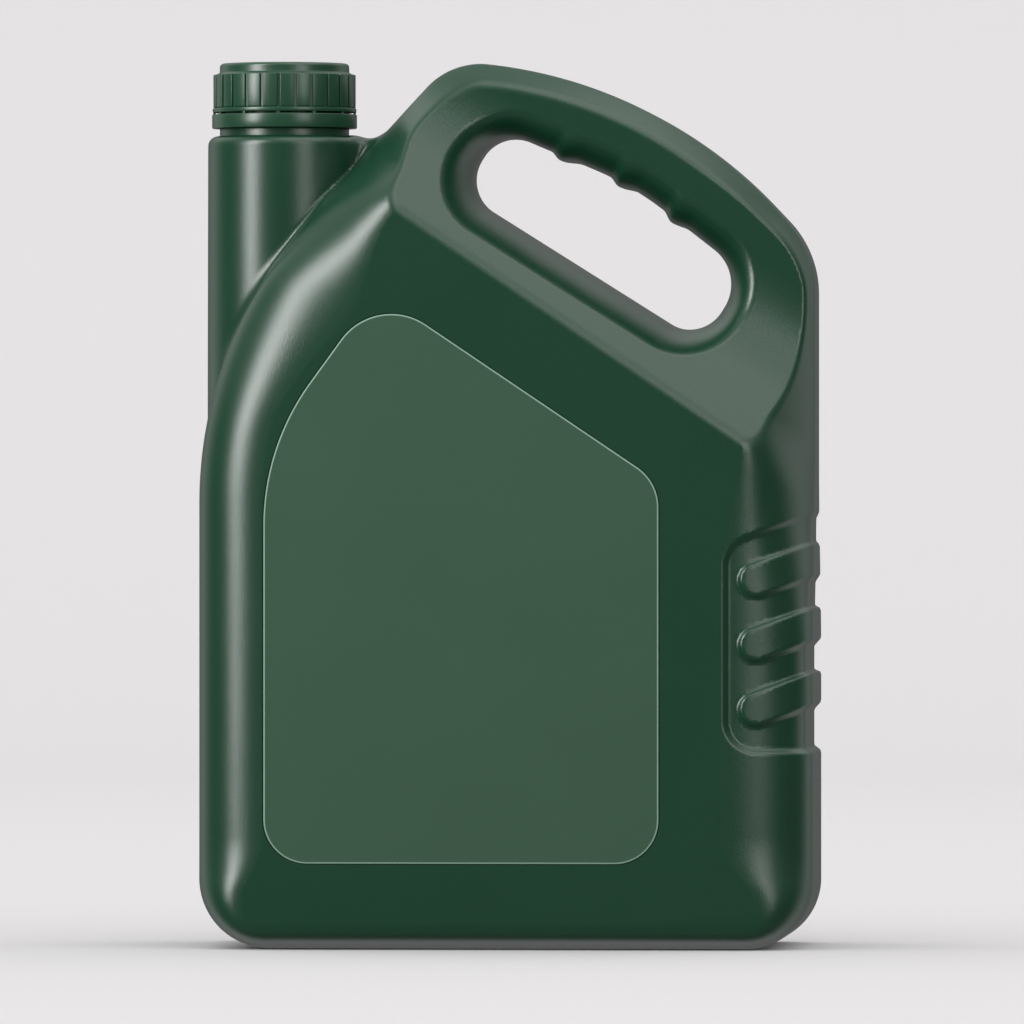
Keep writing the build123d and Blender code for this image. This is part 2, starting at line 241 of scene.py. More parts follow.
# ---------------------------------------------------------------- the blown form as a field, in mm
NECK_SIDE, GRIP_SIDE = BOTTLE_LOW.x, BOTTLE_HIGH.x
HALF_DEPTH = BOTTLE_HIGH.y
FLANK_FOOT = (NECK_SIDE, SHOULDER_Z - 82.2)
FLANK_ANGLE = 54.0
BASE_RADIUS_NECK_SIDE, BASE_RADIUS_GRIP_SIDE = 25.0, 23.5
HANDLE_FRONT = (NECK_SIDE + 88.6, SHOULDER_Z + 26.6)
HANDLE_BACK = (GRIP_SIDE, SHOULDER_Z - 41.2)
RISE_FOOT = crossing(FLANK_FOOT, FLANK_ANGLE, HANDLE_FRONT, 47.4)
HANDLE_CROWN = crossing(HANDLE_FRONT, -6.4, HANDLE_BACK, -46.6)
BODY_OUTLINE = [
    (NECK_SIDE, 0, BASE_RADIUS_NECK_SIDE),
    (*FLANK_FOOT, 150.0),
    (*RISE_FOOT, 80.0),
    (*HANDLE_FRONT, 26.0),
    (*HANDLE_CROWN, 163.0),
    (*HANDLE_BACK, 38.0),
    (GRIP_SIDE, 0, BASE_RADIUS_GRIP_SIDE),
]
HANDLE_HALF = 24.0
CHEEK_ANGLE = -34.0
CHEEK_POINT = (NECK_SIDE + 74.9, SHOULDER_Z - 28.8)
CHEEK_SLOPE = radians(38.0)
CHEEK_BLEND = 14.0

# The rounding round the panels turns into the bevel round the handle. Each fade is a stretch of the side view,
# in mm: those of bevel and cheek are distances above the cheek's line, ALONG ones are X, the base one is Z.
BEVEL_FADE, CHEEK_FADE = (-50, 4), (-6, 14)
TOP_FADE_START, TOP_FADE_SHIFT, TOP_FADE_LENGTH, TOP_FADE_ALONG = 22, 28, 26, (0, 90)
FLANK_FADE_HALF, FLANK_FADE_ALONG = 25, (-20, 30)
GRIP_FADE_ALONG = (30, 80)
BASE_FADE = (0, 40)
BEVEL_SLOPE, TOP_SLOPE_DROP = 1.6, 0.65
EDGE_POWER, BEVEL_POWER_DROP, CHEEK_POWER_DROP, TOP_POWER_DROP = 2.07, 0.40, 0.42, 0.19

HOLE_FRONT = (NECK_SIDE + 109.4, SHOULDER_Z - 15.7)
HOLE_BACK = (GRIP_SIDE - 45.1, SHOULDER_Z - 55.7)
HOLE_LENGTH = np.hypot(HOLE_BACK[0] - HOLE_FRONT[0], HOLE_BACK[1] - HOLE_FRONT[1])
HOLE_ANGLE = atan2(HOLE_BACK[1] - HOLE_FRONT[1], HOLE_BACK[0] - HOLE_FRONT[0])
HOLE_RADIUS = 13.5
HOLE_TOP = 21.0
HOLE_TOP_RADIUS = 110.0
HOLE_BACK_TOP = 15.8
HOLE_BACK_RADIUS = 15.5
HOLE_CORNER_RADIUS = HOLE_RADIUS - 0.1
HOLE_THROAT_HALF = 6.0
HOLE_LEAST_ROLL = 4.0
HOLE_POWER = 1.7
FINGER_PLACES = [HOLE_LENGTH / 2 - 3.4 + step * 22.6 for step in (-1, 0, 1)]
FINGER_HEIGHT = 1.7
FINGER_FRONT, FINGER_TIP, FINGER_BACK = -5.0, -0.5, 7.0
FINGER_FADE_ACROSS, FINGER_FADE_CLEAR, FINGER_FADE_SHARE = (4, 10), (0, 14), 0.6

RECESS_X = GRIP_SIDE - 31.1
RECESS_RISE = radians(20.0)
RECESS_BOTTOM, RECESS_TOP = 69.0, 144.0
RECESS_REACH = 60.0
RECESS_CORNER_RADIUS, RECESS_END_RADIUS = 12.0, 0.5
RIB_X = GRIP_SIDE - 19.1
RIB_HEIGHTS = [85.2 + 22.8 * step for step in range(3)]
RIB_HALF = 5.7
RIB_EDGE = (-1.0, 1.4)

COLUMN_RADIUS = 27.3
COLUMN_DRAFT = 0.002
COLUMN_TOP_RADIUS = 3.5
COLUMN_FOOT_Z = 120
COLUMN_BLEND, COLUMN_BLEND_GROWTH, COLUMN_BLEND_FADE = 0.3, 1.9, 8
SADDLE_BLEND, SADDLE_FADE, SADDLE_FADE_ACROSS = 18, 14, (6, 18)
BASE_PANEL_RISE = 1.5
BASE_RIM = 9.0
BASE_PANEL_INSET = 18
BASE_PANEL_RADIUS = 12
BASE_PANEL_EDGE = 2.5


class SideMaps:
    """What the blown form needs to know at each point of the side view."""

    def __init__(self, x, z, sizes):
        inside = -outline_distance(x, z, BODY_OUTLINE)
        angle = radians(CHEEK_ANGLE)
        above = (z - CHEEK_POINT[1]) * cos(angle) - (x - CHEEK_POINT[0]) * sin(angle)
        cheek = smooth_max(HALF_DEPTH - tan(CHEEK_SLOPE) * above, np.full(x.shape, HANDLE_HALF), CHEEK_BLEND)
        upper = smooth_step(above, *BEVEL_FADE)
        start = TOP_FADE_START + TOP_FADE_SHIFT * smooth_step(x, *TOP_FADE_ALONG)
        high = smooth_step(above, start, start + TOP_FADE_LENGTH)
        slope = BEVEL_SLOPE - TOP_SLOPE_DROP * high
        flank = smooth_step(z, FLANK_FOOT[1] - FLANK_FADE_HALF, FLANK_FOOT[1] + FLANK_FADE_HALF)
        flank = flank * (1 - smooth_step(x, *FLANK_FADE_ALONG))
        grip = smooth_step(x, *GRIP_FADE_ALONG)
        width = sizes.panel_edge_width + sizes.flank_edge_extra * flank + sizes.grip_edge_extra * grip
        width = sizes.base_edge_width + (width - sizes.base_edge_width) * smooth_step(z, *BASE_FADE)
        bevel = HALF_DEPTH - HANDLE_HALF + sizes.handle_bevel_depth
        self.inside = inside
        self.face = smooth_min(np.full(x.shape, HALF_DEPTH), cheek, sizes.crease_blend)
        self.cheek = cheek
        self.width = width + (bevel / slope - width) * upper
        self.depth = sizes.panel_edge_depth + (bevel - sizes.panel_edge_depth) * upper
        power = EDGE_POWER - BEVEL_POWER_DROP * upper
        self.power = power - CHEEK_POWER_DROP * smooth_step(above, *CHEEK_FADE) - TOP_POWER_DROP * high

        along = (x - HOLE_FRONT[0]) * cos(HOLE_ANGLE) + (z - HOLE_FRONT[1]) * sin(HOLE_ANGLE)
        across = (z - HOLE_FRONT[1]) * cos(HOLE_ANGLE) - (x - HOLE_FRONT[0]) * sin(HOLE_ANGLE)
        hole = [
            (-HOLE_RADIUS, -HOLE_RADIUS, HOLE_CORNER_RADIUS),
            (-HOLE_RADIUS, HOLE_RADIUS - 0.8, HOLE_CORNER_RADIUS),
            (HOLE_LENGTH / 2, HOLE_TOP, HOLE_TOP_RADIUS),
            (HOLE_LENGTH + HOLE_RADIUS, HOLE_BACK_TOP, HOLE_BACK_RADIUS),
            (HOLE_LENGTH + HOLE_RADIUS, -HOLE_RADIUS, HOLE_CORNER_RADIUS),
        ]
        clear = outline_distance(along, across, hole)
        ridges = 0
        for place in FINGER_PLACES:
            steep = smooth_step(along, place + FINGER_FRONT, place + FINGER_TIP)
            gentle = 1 - smooth_step(along, place + FINGER_TIP, place + FINGER_BACK)
            ridges = ridges + steep * gentle
        fade = 1 - FINGER_FADE_SHARE * smooth_step(clear, *FINGER_FADE_CLEAR)
        fade = smooth_step(across, *FINGER_FADE_ACROSS) * fade
        self.hole = clear + FINGER_HEIGHT * ridges * fade

        rise = tan(RECESS_RISE)
        recess = [
            (RECESS_X, RECESS_BOTTOM, RECESS_CORNER_RADIUS),
            (RECESS_X, RECESS_TOP, RECESS_CORNER_RADIUS),
            (RECESS_X + RECESS_REACH, RECESS_TOP + RECESS_REACH * rise, RECESS_END_RADIUS),
            (RECESS_X + RECESS_REACH, RECESS_BOTTOM, RECESS_END_RADIUS),
        ]
        sunk = 1 - smooth_step(outline_distance(x, z, recess), -sizes.recess_edge, 0)
        for height in RIB_HEIGHTS:
            reach = np.maximum((x - RIB_X) * cos(RECESS_RISE) + (z - height) * sin(RECESS_RISE), 0)
            dx, dz = x - RIB_X - reach * cos(RECESS_RISE), z - height - reach * sin(RECESS_RISE)
            sunk = sunk * smooth_step(np.hypot(dx, dz) - RIB_HALF, *RIB_EDGE)
        self.sunk = sunk * sizes.recess_depth


MAP_NAMES = ("inside", "face", "cheek", "width", "depth", "power", "hole", "sunk")


def blown_field(maps, x, y, z, sizes):
    """Less than 0 inside the blown form. The maps hold the side view's values at the same points."""
    y = np.abs(y)
    side = np.maximum(1 - maps["inside"] / maps["width"], 0)
    front = np.maximum((y - HALF_DEPTH) / maps["depth"] + 1, 0)
    power = maps["power"]
    edge = (side ** power + front ** power) ** (1 / power) - 1
    slab = edge * maps["depth"]
    slab = smooth_max(slab, (y - maps["cheek"]) * cos(CHEEK_SLOPE), sizes.crease_blend)
    roll = np.maximum(maps["face"] - HOLE_THROAT_HALF, HOLE_LEAST_ROLL)
    rim = np.maximum(1 - maps["hole"] / sizes.hole_flare_width, 0)
    front = np.maximum((y - maps["face"]) / roll + 1, 0)
    bore = ((rim ** HOLE_POWER + front ** HOLE_POWER) ** (1 / HOLE_POWER) - 1) * sizes.hole_flare_width
    form = np.maximum(slab + maps["sunk"], bore)

    radius = COLUMN_RADIUS + (SHOULDER_Z - np.maximum(z, FLANK_FOOT[1])) * COLUMN_DRAFT
    column = rounded_corner(np.hypot(x - NECK_X, y) - radius, z - SHOULDER_Z, COLUMN_TOP_RADIUS)
    column = np.maximum(column, COLUMN_FOOT_Z - z)
    low, high = FLANK_FOOT[1] - COLUMN_BLEND_FADE, FLANK_FOOT[1] + COLUMN_BLEND_FADE
    blend = COLUMN_BLEND + COLUMN_BLEND_GROWTH * smooth_step(z, low, high)
    saddle = SADDLE_BLEND * smooth_step(z, SHOULDER_Z - SADDLE_FADE, SHOULDER_Z)
    blend = blend + saddle * (1 - smooth_step(y, *SADDLE_FADE_ACROSS))
    form = smooth_min(form, column, blend)

    low_x, high_x = NECK_SIDE + BASE_RADIUS_NECK_SIDE + BASE_RIM, GRIP_SIDE - BASE_RADIUS_GRIP_SIDE - BASE_RIM
    middle, half_length = (low_x + high_x) / 2, (high_x - low_x) / 2
    half_width = HALF_DEPTH - BASE_PANEL_INSET - BASE_RIM
    dx, dy = np.abs(x - middle) - half_length + BASE_PANEL_RADIUS, y - half_width + BASE_PANEL_RADIUS
    panel = np.hypot(np.maximum(dx, 0), np.maximum(dy, 0)) + np.minimum(np.maximum(dx, dy), 0)
    panel = panel - BASE_PANEL_RADIUS
    return np.maximum(form, BASE_PANEL_RISE * (1 - smooth_step(panel, -BASE_PANEL_EDGE, 0)) - z)


def cubic_weights(t):
    """Weights of the four samples round a place, for a smooth curve through them."""
    return (
        ((2 - t) * t - 1) * t / 2,
        ((3 * t - 5) * t * t + 2) / 2,
        ((4 - 3 * t) * t + 1) * t / 2,
        (t - 1) * t * t / 2,
    )


class SideTable:
    """The side view's maps on an even grid, read smoothly at any point."""

    def __init__(self, step, sizes):
        self.low = np.array((NECK_SIDE - 4 * step, -6 * step))
        count_x = int((GRIP_SIDE - NECK_SIDE) / step) + 9
        count_z = int(HANDLE_FRONT[1] / step) + 14
        self.step = step
        self.x = self.low[0] + step * np.arange(count_x)
        self.z = self.low[1] + step * np.arange(count_z)
        grid_x, grid_z = np.meshgrid(self.x, self.z, indexing="ij")
        made = SideMaps(grid_x, grid_z, sizes)
        self.maps = {name: getattr(made, name) for name in MAP_NAMES}

    def read(self, x, z):
        """Each map's value at points of the side view."""
        fx, fz = (x - self.low[0]) / self.step, (z - self.low[1]) / self.step
        ix = np.clip(fx.astype(int), 1, len(self.x) - 3)
        iz = np.clip(fz.astype(int), 1, len(self.z) - 3)
        wx, wz = cubic_weights(fx - ix), cubic_weights(fz - iz)
        out = {}
        for name, grid in self.maps.items():
            total = 0
            for a in range(4):
                row = sum(wz[b] * grid[ix + a - 1, iz + b - 1] for b in range(4))
                total = total + wx[a] * row
            out[name] = total
        return out


def surface_net(field, low, step):
    """A closed mesh on the field's zero level, as points and quads that face outwards."""
    inside = field < 0
    mixed = np.zeros(tuple(n - 1 for n in field.shape), bool)
    first = inside[:-1, :-1, :-1]
    corners = [(a, b, c) for a in (0, 1) for b in (0, 1) for c in (0, 1)]
    size = mixed.shape
    for a, b, c in corners[1:]:
        mixed |= inside[a:a + size[0], b:b + size[1], c:c + size[2]] != first
    cells = np.argwhere(mixed)
    index = np.full(size, -1, np.int32)
    index[mixed] = np.arange(len(cells))
    total = np.zeros((len(cells), 3))
    count = np.zeros(len(cells))
    i, j, k = cells.T
    for a, b, c in corners:
        for axis in range(3):
            if (a, b, c)[axis]:
                continue
            far = [a, b, c]
            far[axis] = 1
            near_value = field[i + a, j + b, k + c]
            far_value = field[i + far[0], j + far[1], k + far[2]]
            cut = (near_value < 0) != (far_value < 0)
            share = np.where(cut, near_value / np.where(cut, near_value - far_value, 1), 0)
            place = np.stack([np.full(len(cells), float(v)) for v in (a, b, c)], 1)
            place[:, axis] += share
            total += place * cut[:, None]
            count += cut
    points = low + step * (cells + total / count[:, None])
    quads = []
    for axis in range(3):
        other, third = (axis + 1) % 3, (axis + 2) % 3
        near = [slice(1, n - 1) for n in field.shape]
        near[axis] = slice(0, field.shape[axis] - 1)
        far = list(near)
        far[axis] = slice(1, field.shape[axis])
        change = inside[tuple(near)] != inside[tuple(far)]
        place = np.argwhere(change)
        place[:, other] += 1
        place[:, third] += 1
        outward = inside[tuple(place.T)]
        ring = []
        for back_other, back_third in ((0, 0), (1, 0), (1, 1), (0, 1)):
            cell = place.copy()
            cell[:, other] -= back_other
            cell[:, third] -= back_third
            ring.append(index[tuple(cell.T)])
        ring = np.stack(ring, 1)
        quads.append(np.where(outward[:, None], ring, ring[:, ::-1]))
    return points, np.concatenate(quads)


def sampled_form(table, step, sizes):
    """The blown form's field on an even grid with the given step, for x, y and z."""
    stride = max(1, round(step / table.step))
    step = table.step * stride
    maps = {name: grid[::stride, ::stride][:, None, :] for name, grid in table.maps.items()}
    x, z = table.x[::stride][:, None, None], table.z[::stride][None, None, :]
    half = np.arange(int(HALF_DEPTH / step) + 4) * step + step / 2
    field = blown_field(maps, x, half[None, :, None], z, sizes).astype(np.float32)
    field = np.concatenate([field[:, ::-1], field], 1)
    low = np.array((table.x[0], -half[-1], table.z[0]))
    return field, low, step


def field_and_slope(table, points, sizes):
    """The field, as the mean of close samples, and its gradient at points."""
    small = 0.05
    values = []
    for axis in range(3):
        for sign in (1, -1):
            moved = points.copy()
            moved[:, axis] += sign * small
            maps = table.read(moved[:, 0], moved[:, 2])
            values.append(blown_field(maps, *moved.T, sizes))
    slope = np.stack([(values[2 * a] - values[2 * a + 1]) / (2 * small) for a in range(3)], 1)
    return sum(values) / 6, slope


def settle(table, points, sizes, rounds=3, furthest=0.6):
    """Points moved onto the blown form's surface."""
    for _ in range(rounds):
        value, slope = field_and_slope(table, points, sizes)
        move = -value[:, None] * slope / np.maximum((slope ** 2).sum(1), 1e-6)[:, None]
        far = np.linalg.norm(move, axis=1)[:, None]
        points = points + move * np.minimum(1, furthest / np.maximum(far, 1e-9))
    return points


# ---------------------------------------------------------------- meshes, in mm until they are finished
SECTION_ARC_STEP = 0.25
THREAD_SEGMENTS = 72
THREAD_OVERLAP = 0.4
THREAD_RUN_OUT = 0.08


def mesh_object(name, points, faces):
    """A mesh object from points in mm and faces of three or four corners."""
    mesh = bpy.data.meshes.new(name)
    mesh.from_pydata(np.asarray(points).tolist(), [], [list(face) for face in faces])
    mesh.validate()
    piece = bpy.data.objects.new(name, mesh)
    bpy.context.scene.collection.objects.link(piece)
    return piece


def faced_outwards(piece, merge=False):
    """The closed piece with its faces turned outwards, and its doubled corners merged where asked."""
    work = bmesh.new()
    work.from_mesh(piece.data)
    if merge:
        bmesh.ops.remove_doubles(work, verts=work.verts, dist=0.004)
        bmesh.ops.dissolve_degenerate(work, edges=work.edges, dist=0.0005)
    bmesh.ops.recalc_face_normals(work, faces=work.faces)
    work.to_mesh(piece.data)
    work.free()
    return piece


def vertex_places(mesh):
    """The mesh's vertices as rows of x, y and z."""
    place = np.empty(len(mesh.vertices) * 3)
    mesh.vertices.foreach_get("co", place)
    return place.reshape(-1, 3)


def drop(*pieces):
    """Removes helper objects and their meshes."""
    for piece in pieces:
        mesh = piece.data
        bpy.data.objects.remove(piece)
        bpy.data.meshes.remove(mesh)


def baked(piece):
    """The piece with its modifiers turned into a plain mesh."""
    graph = bpy.context.evaluated_depsgraph_get()
    graph.update()
    made = bpy.data.meshes.new_from_object(piece.evaluated_get(graph))
    old = piece.data
    piece.modifiers.clear()
    piece.data = made
    bpy.data.meshes.remove(old)
    made.name = piece.name
    return piece


def thinned(piece, triangles):
    """The piece with fewer triangles, the flat stretches thinned first."""
    piece.data.calc_loop_triangles()
    thin = piece.modifiers.new("Thin", "DECIMATE")
    thin.ratio = min(1.0, triangles / len(piece.data.loop_triangles))
    return baked(piece)


def combined(piece, other, operation):
    """The piece united with another, or cut by it. The other is used up."""
    join = piece.modifiers.new("Combine", "BOOLEAN")
    join.operation, join.object, join.solver = operation, other, "MANIFOLD"
    before = len(piece.data.vertices)
    baked(piece)
    if len(piece.data.vertices) in (0, before):
        raise RuntimeError(f"{piece.name} could not be combined with {other.name}")
    drop(other)
    return piece


def lathe(name, corners, segments):
    """A round solid about the neck's axis, from the corners (radius, z, rounding) of its section."""
    section = outline_points(corners, SECTION_ARC_STEP)
    angles = np.linspace(0, 2 * pi, segments, endpoint=False)
    points = [
        (NECK_X + radius * cos(angle), radius * sin(angle), z) for angle in angles for radius, z in section
    ]
    count = len(section)
    faces = []
    for turn in range(segments):
        here, there = turn * count, (turn + 1) % segments * count
        for number in range(count):
            after = (number + 1) % count
            faces.append((here + number, here + after, there + after, there + number))
    return faced_outwards(mesh_object(name, points, faces), merge=True)


def thread(name, root, crest, start_z, turns):
    """A right-hand thread rib with run-out ends, as a closed mesh."""
    count = int(THREAD_SEGMENTS * turns)
    points, faces = [], []
    for number in range(count + 1):
        share = number / count
        angle = 2 * pi * turns * share
        height = (crest - root) * smooth_step(min(share, 1 - share) * turns, 0, THREAD_RUN_OUT)
        middle = start_z + THREAD_PITCH * turns * share
        inner = root - THREAD_OVERLAP * np.sign(crest - root)
        for radius, lift in (
            (inner, -THREAD_BASE / 2),
            (root + height, -THREAD_CREST / 2),
            (root + height, THREAD_CREST / 2),
            (inner, THREAD_BASE / 2),
        ):
            points.append((NECK_X + radius * cos(angle), radius * sin(angle), middle + lift))
        if number:
            here = 4 * number
            faces += [(here - 4 + a, here - 4 + (a + 1) % 4, here + (a + 1) % 4, here + a) for a in range(4)]
    faces += [(0, 3, 2, 1), (4 * count, 4 * count + 1, 4 * count + 2, 4 * count + 3)]
    return faced_outwards(mesh_object(name, points, faces))


def joined(name, pieces):
    """Several objects as one mesh object."""
    work = bmesh.new()
    for piece in pieces:
        work.from_mesh(piece.data)
    mesh = bpy.data.meshes.new(name)
    work.to_mesh(mesh)
    work.free()
    drop(*pieces)
    made = bpy.data.objects.new(name, mesh)
    bpy.context.scene.collection.objects.link(made)
    return made


def finish_piece(piece, body, nodes, material, sharp=radians(32)):
    """Brings a piece from mm to metres, shades it, and puts it in the frame for the nodes it stands for."""
    piece.data.transform(Matrix.Scale(MM, 4))
    if sharp:
        piece.data.polygons.foreach_set("use_smooth", np.ones(len(piece.data.polygons), bool))
        piece.data.set_sharp_from_angle(angle=sharp)
    piece.data.materials.clear()
    piece.data.materials.append(material)
    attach(piece, body)
    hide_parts(*nodes)
    return piece


# ---------------------------------------------------------------- closure sizes, in mm
NECK_ROOT, NECK_CREST, NECK_BORE = 21.3, 22.8, 19.3
COLLAR_RADIUS = 23.1
MOUTH_Z = LINER_LOW.z
BEAD_Z = RING_LOW.z + 1.8
BEAD_RADIUS = 23.7
THREAD_PITCH, THREAD_BASE, THREAD_CREST = 5.0, 2.6, 1.2
NECK_THREAD_Z, NECK_THREAD_TURNS = BEAD_Z + 5.5, 1.4
CAP_THREAD_Z, CAP_THREAD_TURNS = NECK_THREAD_Z + 2.5, 1.1
LIP_RADIUS = (CAP_HIGH.x - CAP_LOW.x) / 2
SKIRT_RADIUS = LIP_RADIUS - 1.0
RIB_RADIUS = SKIRT_RADIUS + 0.65
CROWN_RADIUS = 23.15
CROWN_Z = CAP_HIGH.z - 3.8
CAP_BORE, CAP_CREST = 23.2, 21.7
RING_RADIUS = (RING_HIGH.x - RING_LOW.x) / 2
RING_TOP = RING_LOW.z + 5.0

LABEL_FLANK = beside(FLANK_FOOT, FLANK_ANGLE, 37.0)
LABEL_CHEEK = beside(CHEEK_POINT, CHEEK_ANGLE, 28.4)
LABEL_BASE_RADIUS = 15.5
LABEL_OUTLINE = [
    (LABEL_LOW.x, LABEL_LOW.z, LABEL_BASE_RADIUS),
    (*crossing((LABEL_LOW.x, 0), 90, LABEL_FLANK, FLANK_ANGLE), 86.0),
    (*crossing(LABEL_FLANK, FLANK_ANGLE, LABEL_CHEEK, CHEEK_ANGLE), 22.0),
    (*crossing(LABEL_CHEEK, CHEEK_ANGLE, (LABEL_HIGH.x, 0), 90), 17.0),
    (LABEL_HIGH.x, LABEL_LOW.z, LABEL_BASE_RADIUS),
]


def grown(points, distance):
    """A closed clockwise outline moved outwards by a distance."""
    along = np.roll(points, -1, 0) - np.roll(points, 1, 0)
    along /= np.linalg.norm(along, axis=1)[:, None]
    return points + distance * np.stack([-along[:, 1], along[:, 0]], 1)


def band(name, rings, closed_ends):
    """A mesh between outline rings given as (points in the side view, y), each joined to the next."""
    points, faces = [], []
    count = len(rings[0][0])
    for outline, y in rings:
        points += [(x, y, z) for x, z in outline]
    last = len(rings) if not closed_ends else len(rings) - 1
    for ring in range(last):
        here, there = ring * count, (ring + 1) % len(rings) * count
        for number in range(count):
            after = (number + 1) % count
            faces.append((here + number, here + after, there + after, there + number))
    if closed_ends:
        faces.append(list(range(count)))
        faces.append(list(range((len(rings) - 1) * count, len(rings) * count))[::-1])
    return faced_outwards(mesh_object(name, points, faces))


def polar_tree():
    """Geometry nodes that repeat the incoming mesh evenly round an upright axis."""
    tree = bpy.data.node_groups.new("Repeat round the axis", "GeometryNodeTree")
    face = tree.interface
    face.new_socket("Geometry", in_out="INPUT", socket_type="NodeSocketGeometry")
    face.new_socket("Count", in_out="INPUT", socket_type="NodeSocketInt")
    face.new_socket("Radius", in_out="INPUT", socket_type="NodeSocketFloat")
    face.new_socket("Centre", in_out="INPUT", socket_type="NodeSocketVector")
    face.new_socket("Material", in_out="INPUT", socket_type="NodeSocketMaterial")
    face.new_socket("Geometry", in_out="OUTPUT", socket_type="NodeSocketGeometry")
    node, link = tree.nodes.new, tree.links.new
    given, result = node("NodeGroupInput"), node("NodeGroupOutput")
    circle, place = node("GeometryNodeMeshCircle"), node("GeometryNodeInputPosition")
    turn = node("FunctionNodeAlignRotationToVector")
    turn.axis, turn.pivot_axis = "X", "Z"
    copies, real = node("GeometryNodeInstanceOnPoints"), node("GeometryNodeRealizeInstances")
    move, paint = node("GeometryNodeTransform"), node("GeometryNodeSetMaterial")
    link(given.outputs["Count"], circle.inputs["Vertices"])
    link(given.outputs["Radius"], circle.inputs["Radius"])
    link(place.outputs["Position"], turn.inputs["Vector"])
    link(circle.outputs["Mesh"], copies.inputs["Points"])
    link(given.outputs["Geometry"], copies.inputs["Instance"])
    link(turn.outputs["Rotation"], copies.inputs["Rotation"])
    link(copies.outputs["Instances"], real.inputs["Geometry"])
    link(real.outputs["Geometry"], move.inputs["Geometry"])
    link(given.outputs["Centre"], move.inputs["Translation"])
    link(move.outputs["Geometry"], paint.inputs["Geometry"])
    link(given.outputs["Material"], paint.inputs["Material"])
    link(paint.outputs["Geometry"], result.inputs["Geometry"])
    return tree


def repeated_round(name, piece, count, radius, height, material):
    """One small piece repeated round the neck's axis by geometry nodes, as a plain mesh."""
    tree = bpy.data.node_groups.get("Repeat round the axis") or polar_tree()
    copies = piece.modifiers.new("Repeat", "NODES")
    copies.node_group = tree
    values = {"Count": count, "Radius": radius, "Centre": (NECK_X, 0.0, height), "Material": material}
    for socket in tree.interface.items_tree:
        if socket.in_out == "INPUT" and socket.name in values:
            copies[socket.identifier] = values[socket.name]
    baked(piece)
    piece.name = name
    return piece


def soft_block(name, size, bevel):
    """A block of the given size in mm, its edges rounded."""
    work = bmesh.new()
    bmesh.ops.create_cube(work, size=1.0, matrix=Matrix.Diagonal((*size, 1.0)))
    bmesh.ops.bevel(work, geom=work.edges, offset=bevel, segments=3, profile=0.5, affect="EDGES")
    mesh = bpy.data.meshes.new(name)
    work.to_mesh(mesh)
    work.free()
    piece = bpy.data.objects.new(name, mesh)
    bpy.context.scene.collection.objects.link(piece)
    return piece


# ---------------------------------------------------------------- finishes
SEAM_HALF_WIDTH, SEAM_HEIGHT = 0.0006, 0.0002  # in metres


def grain_group():
    """A moulded plastic's fine grain and slow mottling, for more than one material."""
    name = "Moulded grain"
    if name in bpy.data.node_groups:
        return bpy.data.node_groups[name]
    group = bpy.data.node_groups.new(name, "ShaderNodeTree")
    face = group.interface
    for label, kind, default in (
        ("Colour", "NodeSocketColor", (0.5, 0.5, 0.5, 1)),
        ("Roughness", "NodeSocketFloat", 0.4),
        ("Grain scale", "NodeSocketFloat", 1000.0),
        ("Mottling", "NodeSocketFloat", 0.06),
    ):
        face.new_socket(label, in_out="INPUT", socket_type=kind).default_value = default
    for label, kind in (
        ("Colour", "NodeSocketColor"), ("Roughness", "NodeSocketFloat"), ("Height", "NodeSocketFloat")
    ):
        face.new_socket(label, in_out="OUTPUT", socket_type=kind)
    node, link = group.nodes.new, group.links.new
    given, result = node("NodeGroupInput"), node("NodeGroupOutput")
    place = node("ShaderNodeTexCoord")
    grain, slow = node("ShaderNodeTexNoise"), node("ShaderNodeTexNoise")
    grain.inputs["Detail"].default_value = 2.0
    slow.inputs["Scale"].default_value = 22.0
    slow.inputs["Detail"].default_value = 3.0
    link(place.outputs["Object"], grain.inputs["Vector"])
    link(place.outputs["Object"], slow.inputs["Vector"])
    link(given.outputs["Grain scale"], grain.inputs["Scale"])
    link(grain.outputs["Fac"], result.inputs["Height"])
    swing, share = node("ShaderNodeMath"), node("ShaderNodeMath")
    swing.operation, share.operation = "SUBTRACT", "MULTIPLY_ADD"
    swing.inputs[1].default_value = 0.5
    link(slow.outputs["Fac"], swing.inputs[0])
    link(swing.outputs[0], share.inputs[0])
    link(given.outputs["Mottling"], share.inputs[1])
    share.inputs[2].default_value = 1.0
    scale = node("ShaderNodeVectorMath")
    scale.operation = "SCALE"
    link(given.outputs["Colour"], scale.inputs[0])
    link(share.outputs[0], scale.inputs["Scale"])
    link(scale.outputs["Vector"], result.inputs["Colour"])
    rough = node("ShaderNodeMath")
    rough.operation = "MULTIPLY"
    link(given.outputs["Roughness"], rough.inputs[0])
    link(share.outputs[0], rough.inputs[1])
    link(rough.outputs[0], result.inputs["Roughness"])
    return group


